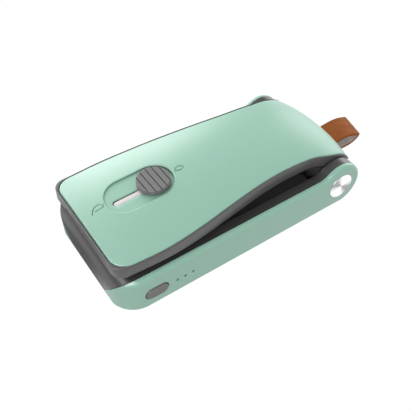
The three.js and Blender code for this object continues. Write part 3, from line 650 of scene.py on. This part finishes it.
def polyline_distance(x, y, line):
    best = 1e9
    for (ax, ay), (bx, by) in zip(line, line[1:]):
        dx, dy = bx - ax, by - ay
        t = max(0.0, min(1.0, ((x - ax) * dx + (y - ay) * dy) / (dx * dx + dy * dy)))
        best = min(best, hypot(x - ax - t * dx, y - ay - t * dy))
    return best


# Generic engraved marks, each with its span in x: a blade in front of the slot and a closed bag behind it.
MARKS = [(catmull_rom(points, 8), span) for points, span in (
    ([(-48.7, 0.5), (-48.1, 1.5), (-47.5, 2.4), (-46.5, 3.0), (-45.4, 3.3), (-44.4, 3.2), (-43.6, 2.5),
      (-43.5, 1.6), (-44.3, 1.2), (-45.7, 1.1), (-47.2, 1.1)], (-49.6, -42.6)),
    ([(-14.3, -0.3), (-13.9, 0.6), (-13.3, 1.25), (-12.2, 1.5), (-11.1, 1.3), (-10.6, 0.7), (-10.8, -0.1),
      (-11.6, -0.5), (-12.7, -0.5), (-13.6, 0.1)], (-15.5, -9.3)),
)]


def mark_distance(x, y):
    """Distance to the middle of the nearest engraved line, far away where there is none."""
    for line, (x0, x1) in MARKS:
        if x0 < x < x1 and -1.8 < y < 4.3:
            return polyline_distance(x, y, line)
    return 9.0


def engraving(x, y):
    """Depth of the engraved marks."""
    return 0.28 * (1 - smoothstep(mark_distance(x, y), 0.10, 0.32))


def arm_cover():
    """The crowned cover with its oval recess, the slot in it and the engraved marks."""
    side, start, end, rear_corner = ARM.ledge, ARM.front, LENGTH - ARM.cover_rear, ARM.inner_corner
    surface, flat = Surface(), {}

    def crown(s, y, power):
        share = min(1.0, abs(y) / max(1e-6, width_at(s, side, start, end, rear_corner)))
        return crown_height(on_spine(s)[0]) * (1 - share ** power)

    def top(s, y):
        return crown(s, y, ARM.power) - engraving(on_spine(s)[0], y)

    def add(points, height):
        loop = surface.loop([arm_point(s, y, height(s, y)) for s, y in points])
        flat.update(zip(loop, points))
        return loop

    radius = 0.4
    outline = arm_outline(side, start, end, rear_corner)
    rim = [add(offset(outline, radius + 0.2), top)]
    for inset, drop in rounding(radius, 5):
        rim.append(add(offset(outline, inset), lambda s, y, drop=drop: top(s, y) - drop))
    underside = add(outline, level(-ARM.thickness))
    surface.band(rim + [underside])

    # The recess wall: how far out of the recess each loop lies, and its share of the way down.
    centre = (SLIDER.recess_front + SLIDER.recess_rear) / 2
    length = SLIDER.recess_rear - SLIDER.recess_front
    steps = ((0.8, 0), (0.6, 0), (0.42, 0.015), (0.27, 0.06), (0.15, 0.13), (0.07, 0.23), (0.02, 0.36),
             (0.0, 0.5), (-0.03, 0.8), (-0.08, 0.93), (-0.16, 0.985), (-0.26, 1))
    walls = []
    for out, share in steps:
        ring = pill(s_at(centre), SLIDER.recess_y, length + 2 * out, 2 * (SLIDER.recess + out), 48)
        walls.append(add(straight_filled(ring),
                         lambda s, y, share=share: top(s, y) * (1 - share) + recess_height(s) * share))
    surface.band(walls)

    front, rear = SLIDER.slot_front, SLIDER.slot_rear
    floor_thickness = SLIDER.underside - SLIDER.sunk
    slot = []
    for out, drop in ((0.2, 0), (0.1, 0.03), (0.03, 0.1), (0, 0.2), (0, floor_thickness)):
        ring = pill((s_at(front) + s_at(rear)) / 2, SLIDER.slot_y, rear - front + 2 * out,
                    2 * (SLIDER.slot + out), 16)
        slot.append(add(straight_filled(ring), lambda s, y, drop=drop: recess_height(s) - drop))
    surface.band(slot)

    def inner(s, y):
        height = crown(s, y, 2.2) - ARM.thickness
        near = smoothstep(hypot(max(0.0, abs(on_spine(s)[0] - centre) - 7), y), 12, 10.3)
        return height * (1 - near) + (recess_height(s) - floor_thickness) * near

    marks = [(s_at(x0), -1.6, s_at(x1), 4.0, 0.15) for _, (x0, x1) in MARKS]
    surface.region(flat, rim[0], [walls[0]], 1.0, top, marks)
    surface.region(flat, walls[-1], [slot[0]], 1.2, lambda s, y: recess_height(s))
    surface.region(flat, underside, [slot[-1]], 1.6, inner)
    cover = surface.build("arm_cover_skin")
    paint_shade_in_hollows(cover, walls[5:-1])
    return cover


def paint_shade_in_hollows(cover, wall_loops):
    """Gives the engraved marks and the recess wall the second material, a darker mint that is painted shade
    in the grooves and on the far and front walls of the recess.
    """
    wall_points = {i for loop in wall_loops for i in loop}
    for face in cover.data.polygons:
        x, y, z = face.center
        marked = mark_distance(x, y) < 0.22 and z > 25
        # painted shade on the far and front walls of the recess and in the grooves
        on_wall = (y > -1 or x < -38) and all(i in wall_points for i in face.vertices)
        if marked or on_wall:
            face.material_index = 1


def straight_filled(ring):
    """Splits the long edges of a closed ring into short ones."""
    points, step = [], 0.8
    for a, b in zip(ring, ring[1:] + ring[:1]):
        span = hypot(b[0] - a[0], b[1] - a[1])
        if span < 1e-6:
            continue
        count = max(1, round(span / step)) if span > 1.5 * step else 1
        points += [(a[0] + (b[0] - a[0]) * i / count, a[1] + (b[1] - a[1]) * i / count)
                   for i in range(count)]
    return np.array(points)


def arm_frame():
    """The dark rim with its inner plate, hinge knuckles and the opening in the lip."""
    def low(s, y):
        return -rim_height(on_spine(s)[0])

    sharp = [(0, "low", 0), (0, "high", 0)]
    rims = [(inset, "low", drop) for inset, drop in rounding(0.7, 6)]
    rims += [(inset, "high", -drop) for inset, drop in reversed(rounding(0.25, 4))]
    form = arm_slab("arm_rim", 0, 0, LENGTH, 0.9, rims, low, level(0), ARM.rim_corner)
    rabbet = arm_slab("tool", ARM.ledge - ARM.seam, ARM.front - ARM.seam, LENGTH - 0.8,
                      ARM.inner_corner, sharp, level(-1.7), level(6))
    pocket = arm_slab("tool", 2.2, 2.2, LENGTH - 2, 1.0, sharp, lambda s, y: ARM.plate + low(s, y),
                      level(6))
    form = cut(form, rabbet, pocket)
    form = join(form, *[hinge_rod(KNUCKLE.radius, s, KNUCKLE.inner_y, KNUCKLE.outer_y, 128) for s in SIDES])
    form = cut(form, hinge_rod(KNUCKLE.bore))
    under, over = ARM.window_low, ARM.window_high
    form = cut(form, heater_window(under, over), *[block(*w, under, over) for w in CUTTER.windows])
    for x, y in ARM_SCREWS:
        plate_top = arm_point(s_at(x), 0, 0)[2] - rim_height(x) + ARM.plate
        form = cut(form, rod("z", x, y, SCREW.hole, under, 28, 32),
                   rod("z", x, y, SCREW.arm_seat, under, plate_top - SCREW.arm_head, 32))
    return cut(form, prism(ARM.notch, "y", 3.0, 14.0))


# ---- small visible pieces ----
def edge_profile(radius, height, fillet):
    return [(radius - inset, height - drop) for inset, drop in reversed(rounding(fillet, 6))]


def slot_track():
    """The pale strip on the floor of the slot, a little lower than the recess."""
    front, rear = SLIDER.slot_front + 0.25, SLIDER.slot_rear - 0.25
    top = -SLIDER.sunk - 0.12
    rings = []
    for inset, drop in ((0, 0.32), (0, 0.12), (0.04, 0.04), (0.12, 0)):
        ring = pill((front + rear) / 2, -0.02, rear - front - 2 * inset, 2.0 - 2 * inset, 16)
        rings.append([(x, y, recess_floor_z(x) + top - drop) for x, y in straight_filled(ring)])
    return stack("slot_track_strip", rings)


def slide_knob():
    """A disc with a soft edge, five grooves and the leg that reaches through the slot."""
    radius, height, low = SLIDER.knob, SLIDER.height, -SLIDER.sunk
    profile = [(0.4, low), (radius - 0.3, low), (radius - 0.08, low + 0.08), (radius, low + 0.3)]
    profile += edge_profile(radius, height, 0.32)
    profile += [(r, height) for r in (5.4, 4.2, 3.0, 1.8, 0.6)]
    disc = lathe("slide_knob_disc", profile, "z")
    half = [(0.16, -0.6), (0.2, -0.08), (0.27, 0.02), (0.30, 0.3)]
    groove = [(-a, height + b) for a, b in reversed(half)] + [(a, height + b) for a, b in half]
    disc = cut(disc, *[prism([(SLIDER.groove_pitch * i + a, b) for a, b in groove], "y", -8, 8)
                       for i in range(-2, 3)])
    disc = join(disc, block(-5, 5, 0.45, 0.75, -1.5, 0.2))
    place = Vector((SLIDER.x, SLIDER.knob_y, SLIDER.floor + GAP))
    disc.data.transform(Matrix.Translation(place) @ Matrix.Rotation(-SLIDER.tilt, 4, "Y"))
    return disc


def place_turned(obj, place, side):
    """Moves a piece turned about y to its place, facing the given side."""
    obj.data.transform(Matrix.Translation(place) @ Matrix.Diagonal((1, side, 1, 1)))
    turn_outwards(obj)
    return obj


def hinge_cap(side, name):
    radius, height = HINGE.cap, HINGE.cap_height
    profile = [(0.3, 0)] + [(radius, h) for h in (0, 0.6, 1.2)] + edge_profile(radius, height, 0.22)[1:]
    profile += [(r, height) for r in (5.0, 4.2, 3.4, 2.6, 1.8, 1.0, 0.3)]
    cap = lathe("hinge_cap_disc_" + name, profile, "y")
    return place_turned(cap, (HINGE.x, side * (HINGE.cap_seat + 0.1), HINGE.z), side)


def power_button():
    """An oval cap with a slightly hollow face, on a stem with a flange behind the wall."""
    x, z, length, height = BUTTON.x, BUTTON.z, BUTTON.length, BUTTON.height
    front = -BASE.half_width - BUTTON.proud
    rims = ((0, -26), (0, front + 0.35), (0.03, front + 0.2), (0.1, front + 0.1), (0.2, front + 0.03),
            (0.35, front), (0.9, front + 0.03), (1.4, front + 0.07), (1.9, front + 0.1))
    cap = stack("power_button_cap", [
        [(a, y, b) for a, b in pill(x, z, length - 2 * inset, height - 2 * inset, 32)] for inset, y in rims])
    flange = prism(pill(x, z, length + BUTTON.flange, height + BUTTON.flange), "y", -25.9, -25.2)
    return join(cap, block(x - 1, x + 1, -26.5, -25.2, z - 1, z + 1), flange)


def light_pipe(index, x):
    radius = LAMP.radius
    profile = [(0.1, 0), (radius, 0), (radius, 3.4), (0.44, 3.55), (0.3, 3.65), (0.1, 3.7)]
    pipe = lathe(f"light_pipe_rod_{index}", profile, "y", 32)
    return place_turned(pipe, (x, LAMP.inner_y, LAMP.z), -1)


def bezier(a, b, c, d, count):
    t = np.linspace(0, 1, count)[:, None]
    a, b, c, d = (np.array(p, float) for p in (a, b, c, d))
    return (1 - t) ** 3 * a + 3 * (1 - t) ** 2 * t * b + 3 * (1 - t) * t ** 2 * c + t ** 3 * d


def strap_line():
    """The closed middle line of the folded strap in x, z."""
    x, z, neck = STRAP.pin_x, STRAP.pin_z, STRAP.neck
    half = STRAP.thickness / 2
    turn = STRAP.tip - half
    tip = (turn, z + 0.9)
    upper = bezier((neck, z + 0.15 + half), (neck + 5, z - 2.2 + half), (turn - 9, z + 5.4 + half), tip, 22)
    lower = bezier(tip, (turn - 2, z - 3.4 - half), (neck + 7, z - 3.6 - half), (neck, z - 0.15 - half), 22)
    loop = arc(x, z, STRAP.pin_radius + GAP + half, -40, -320, 14)
    points = np.vstack([upper, lower[1:], loop])
    return catmull_rom(np.vstack([points, points[:1]]), 4)[:-1]


def strap():
    """A closed band whose free end hangs a little askew, with soft edges and a suede inside."""
    line, half, width = strap_line(), STRAP.thickness / 2, STRAP.half_width
    edge = [(width - 0.35 * (1 - sin(t)), half * cos(t)) for t in np.linspace(0, pi, 9)]
    inside = [(y, -half) for y in np.linspace(width - 0.8, -width + 0.8, 12)]
    outside = [(-y, half) for y, _ in inside]
    section = edge + inside + [(-y, h) for y, h in reversed(edge)] + outside
    suede_edges = range(len(edge) - 2, len(edge) + len(inside) + 1)
    surface, rings = Surface(), []
    for (x, z), (nx, nz) in zip(line, normals(line)):
        free = smoothstep(x, STRAP.neck, STRAP.tip)
        ring = []
        for y, h in section:
            wave = 0.048 * sin(1.7 * y + 0.6 * x)
            ring.append((x + nx * h + (0.4 + 0.2 * y) * free, y - 0.7 * free,
                         z + nz * h + (0.04 * y - 1.0 + wave) * free))
        rings.append(surface.loop(ring))
    surface.band(rings + [rings[0]])
    band = surface.build("leather_strap_band")
    count = len(section)
    for index, face in enumerate(band.data.polygons):
        face.material_index = int(index % count in suede_edges)
    return band


# ---- materials ----
def feed(socket, value):
    """Links an input to an output, or gives it a value."""
    if isinstance(value, bpy.types.NodeSocket):
        socket.id_data.links.new(value, socket)
    else:
        socket.default_value = value


def node(tree, kind, **inputs):
    """Adds a shader node; inputs are its sockets by name, with _ for a space."""
    made = tree.nodes.new("ShaderNode" + kind)
    for key, value in inputs.items():
        feed(made.inputs[key.replace("_", " ")], value)
    return made


def operate(tree, kind, operation, *values):
    """Adds a Math or VectorMath node with its values in order."""
    made = node(tree, kind)
    made.operation = operation
    for socket, value in zip(made.inputs, values):
        feed(socket, value)
    return made


def calculate(tree, operation, *values):
    return operate(tree, "Math", operation, *values).outputs["Value"]


def object_place(tree):
    return node(tree, "TexCoord").outputs["Object"]


def smooth_range(tree, value, from_min, from_max, to_min=0.0, to_max=1.0):
    made = node(tree, "MapRange", From_Min=from_min, From_Max=from_max, To_Min=to_min, To_Max=to_max)
    made.interpolation_type = "SMOOTHSTEP"
    feed(made.inputs["Value"], value)
    return made.outputs["Result"]


def color_ramp(tree, factor, *stops):
    """A ramp through stops of (position, linear colour)."""
    made = node(tree, "ValToRGB", Fac=factor)
    elements = made.color_ramp.elements
    while len(elements) < len(stops):
        elements.new(0.5)
    for element, (position, color) in zip(elements, stops):
        element.position = position
        element.color = color
    return made.outputs["Color"]


def add_bump(tree, shader, height, strength, distance):
    bump = node(tree, "Bump", Strength=strength, Distance=distance, Height=height)
    feed(shader.inputs["Normal"], bump.outputs["Normal"])


def linear(rgb):
    """A linear colour from an sRGB one in steps of 255."""
    shares = [c / 255 for c in rgb]
    return tuple(c / 12.92 if c <= 0.04045 else ((c + 0.055) / 1.055) ** 2.4 for c in shares) + (1,)


def shader_of(material):
    """The material's node tree and main shader."""
    material.use_nodes = True
    return material.node_tree, material.node_tree.nodes["Principled BSDF"]


def finish_material(name, rgb, roughness, tint, metallic=0.0, specular=0.5, coat=0.0, tint_scale=400,
                    grain=0.02, grain_scale=6000):
    """A procedural finish: slow tint change, fine grain in the surface and a varying roughness."""
    material = bpy.data.materials.new(name)
    tree, shader = shader_of(material)
    for socket, value in (("Metallic", metallic), ("Specular IOR Level", specular), ("Coat Weight", coat),
                          ("Coat Roughness", 0.2)):
        feed(shader.inputs[socket], value)
    place, color = object_place(tree), linear(rgb)[:3]
    slow = node(tree, "TexNoise", Scale=tint_scale, Detail=3.0, Vector=place)
    feed(shader.inputs["Base Color"], color_ramp(
        tree, slow.outputs["Fac"], (0.3, tuple(c * (1 - tint) for c in color) + (1,)),
        (0.7, tuple(min(1, c * (1 + tint)) for c in color) + (1,))))
    fine = node(tree, "TexNoise", Scale=grain_scale, Detail=4.0, Vector=place).outputs["Fac"]
    spread = node(tree, "MapRange", Value=fine, To_Min=max(0.02, roughness - 0.06), To_Max=roughness + 0.06)
    feed(shader.inputs["Roughness"], spread.outputs["Result"])
    add_bump(tree, shader, fine, grain, 0.0001)
    return material


def lathe_rings_and_painted_glint(material):
    """Gives steel the fine rings of a lathe, and paints into its colour a highlight of two bright lobes that
    fan out from the middle.
    """
    tree, shader = shader_of(material)
    feed(shader.inputs["Anisotropic"], 0.6)
    tangent = node(tree, "Tangent")
    tangent.direction_type = "RADIAL"
    tangent.axis = "Y"
    feed(shader.inputs["Tangent"], tangent.outputs["Tangent"])
    centred = operate(tree, "VectorMath", "SUBTRACT", object_place(tree),
                      (HINGE.x * MM, 0, HINGE.z * MM)).outputs["Vector"]
    parts = node(tree, "SeparateXYZ", Vector=centred).outputs
    angle = calculate(tree, "ARCTAN2", parts["Z"], parts["X"])
    # painted highlight: two bright lobes round the middle, put in the base colour
    doubled = calculate(tree, "MULTIPLY_ADD", angle, 2.0, -radians(100))
    painted_glint = calculate(tree, "MULTIPLY_ADD", calculate(tree, "COSINE", doubled), 0.5, 0.5)
    stops = [(at, linear((grey, grey, grey + 1))) for at, grey in ((0.02, 160), (0.26, 216), (0.55, 248))]
    feed(shader.inputs["Base Color"], color_ramp(tree, painted_glint, *stops))
    distance = operate(tree, "VectorMath", "LENGTH", centred).outputs["Value"]
    rings = calculate(tree, "SINE", calculate(tree, "MULTIPLY", distance, 45000.0))
    add_bump(tree, shader, rings, 0.08, 0.00002)


def paint_deck_shade(material):
    """Leaves the frame satin grey at the nose and round the hinge, and paints the arm's shadow nearly black
    along the deck.
    """
    tree, shader = shader_of(material)
    x = node(tree, "SeparateXYZ", Vector=object_place(tree)).outputs["X"]
    # painted shadow: nearly black along the deck, with a duller coat
    dark = calculate(tree, "MULTIPLY", *[smooth_range(tree, x, *fade) for fade in DECK_SHADE.fades])
    mix = node(tree, "Mix")
    mix.data_type = "RGBA"
    factor, grey, black = mix.inputs[0], mix.inputs[6], mix.inputs[7]
    feed(factor, dark)
    feed(grey, shader.inputs["Base Color"].links[0].from_socket)
    feed(black, linear(DECK_SHADE.rgb))
    feed(shader.inputs["Base Color"], mix.outputs[2])
    coat = shader.inputs["Coat Weight"]
    clear = coat.default_value
    feed(coat, calculate(tree, "MULTIPLY_ADD", dark, DECK_SHADE.coat - clear, clear))


materials = {name: finish_material(name, *main, **more) for name, (*main, more) in FINISHES.items()}
# The spun steel gets a painted highlight in its colour.
lathe_rings_and_painted_glint(materials["spun_steel"])
# The frame gets a painted shadow along its deck.
paint_deck_shade(materials["frame_plastic"])


# ---- pieces ----
def place_piece(obj, body, slot_name, *nodes, finishes=(), angle=32):
    """Brings a piece from millimetres into the frame, gives it its finishes and body and hides the CAD nodes
    it takes the place of.
    """
    obj.data.transform(Matrix.Scale(MM, 4))
    for finish in finishes or (slot_name,):
        obj.data.materials.append(materials[finish])
    obj.data.shade_smooth()
    obj.data.set_sharp_from_angle(angle=radians(angle))
    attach(obj, body)
    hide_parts(*nodes)


body = base_body()
shell = base_shell(body)
shell.name = "base_shell_skin"
paint_cavity_shade(shell)
deck = base_frame(body)
deck.name = "base_frame_skin"
bpy.data.objects.remove(body)
# The shell's second material, dark grey, is painted shade inside its cavity.
place_piece(shell, "base", "mint_plastic", "base_shell", finishes=("mint_plastic", "dark_plastic"))
place_piece(deck, "base", "dark_plastic", "base_frame", finishes=("frame_plastic",))
# The cover's second material is painted shade in its recess and grooves.
place_piece(arm_cover(), "arm", "mint_plastic", "arm_cover", angle=50,
            finishes=("mint_plastic", "painted_shade_mint"))
place_piece(slot_track(), "arm", "pale_plastic", "slot_track")
place_piece(arm_frame(), "arm", "dark_plastic", "arm_frame")
place_piece(slide_knob(), "slider", "grey_plastic", "slide_knob")
for side, name in zip(SIDES, ("left", "right")):
    place_piece(hinge_cap(side, name), "base", "steel", "hinge_cap_" + name, finishes=("spun_steel",))
place_piece(power_button(), "button", "grey_plastic", "power_button")
for i, x in enumerate(LAMP.xs, 1):
    place_piece(light_pipe(i, x), "base", "lens", f"light_pipe_{i}")
place_piece(strap(), "base", "leather", "leather_strap", finishes=("leather", "suede"), angle=80)

slots = {part["node"]: part["material_slot"] for part in frame["record"]["subparts"]}
for name, obj in frame["nodes"].items():
    obj.data.materials.clear()
    obj.data.materials.append(materials[slots[name]])
    obj.data.set_sharp_from_angle(angle=radians(32))


# ---- set, light and camera ----
def emission(name, strength):
    """White light of the given strength, and the socket that holds the strength."""
    material = bpy.data.materials.new(name)
    material.use_nodes = True
    tree = material.node_tree
    tree.nodes.clear()
    light = node(tree, "Emission", Color=(1, 1, 1, 1), Strength=strength)
    node(tree, "OutputMaterial", Surface=light.outputs["Emission"])
    return material, light.inputs["Strength"]


def stage_plane(name, z, material):
    reach = FLOOR.reach
    corners = [(-reach, -reach, z), (reach, -reach, z), (reach, reach, z), (-reach, reach, z)]
    plane = new_mesh(name, corners, [(0, 1, 2, 3)])
    plane.data.materials.append(material)
    plane.visible_diffuse = False
    return plane


def studio_floor():
    """A white floor, and a second one for what the piece reflects: dim in the shadow before the nose."""
    material, _ = emission("floor_white", FLOOR.strength)
    stage_plane("floor", FLOOR.z, material).visible_glossy = False
    material, strength = emission("floor_reflected", 1.0)
    tree = material.node_tree
    (x, y), (rx, ry) = DIM_FLOOR.centre, DIM_FLOOR.radii
    scaled = operate(tree, "VectorMath", "MULTIPLY_ADD", object_place(tree), (1 / rx, 1 / ry, 0),
                     (-x / rx, -y / ry, 0)).outputs["Vector"]
    distance = operate(tree, "VectorMath", "LENGTH", scaled).outputs["Value"]
    feed(strength, smooth_range(tree, distance, *DIM_FLOOR.fade, *DIM_FLOOR.strength))
    stage_plane("floor_reflected", FLOOR.reflected_z, material).visible_camera = False


def area_light(name, position, target, size, energy, diffuse):
    data = bpy.data.lights.new(name, "AREA")
    data.shape = "DISK"
    data.size = size
    data.energy = energy
    light = new_object(name, data)
    light.visible_diffuse = diffuse
    light.location = Vector(position)
    light.rotation_euler = (Vector(target) - light.location).to_track_quat("-Z", "Y").to_euler()


def camera():
    azimuth, elevation, roll = (radians(a) for a in (CAMERA.azimuth, CAMERA.elevation, CAMERA.roll))
    back = Vector((sin(azimuth) * cos(elevation), -cos(azimuth) * cos(elevation), sin(elevation)))
    level_right = Vector((cos(azimuth), sin(azimuth), 0))
    above = back.cross(level_right)
    right = cos(roll) * level_right + sin(roll) * above
    up = cos(roll) * above - sin(roll) * level_right
    data = bpy.data.cameras.new("camera")
    data.lens = CAMERA.lens
    data.sensor_width = 36
    data.clip_start = 0.01
    eye = new_object("camera", data)
    place = Matrix.Translation(Vector(CAMERA.target) + CAMERA.distance * back)
    eye.matrix_world = place @ Matrix((right, up, back)).transposed().to_4x4()
    bpy.context.scene.camera = eye


def studio_world():
    """Soft surrounding light: dim from below, brighter from above, brightest low behind the far side."""
    world = bpy.data.worlds.new("studio")
    world.use_nodes = True
    tree = world.node_tree
    place = node(tree, "TexCoord").outputs["Generated"]
    total = 0.0
    for axis, limits in WORLD_LIGHTS:
        toward = operate(tree, "VectorMath", "DOT_PRODUCT", place, Vector(axis).normalized())
        total = calculate(tree, "ADD", total, smooth_range(tree, toward.outputs["Value"], *limits))
    background = tree.nodes["Background"]
    feed(background.inputs["Strength"], total)
    feed(background.inputs["Color"], (1, 1, 1, 1))
    bpy.context.scene.world = world


studio_floor()
studio_world()
for light in AREA_LIGHTS:
    area_light(*light)
camera()
bpy.context.scene.view_settings.view_transform = "Standard"
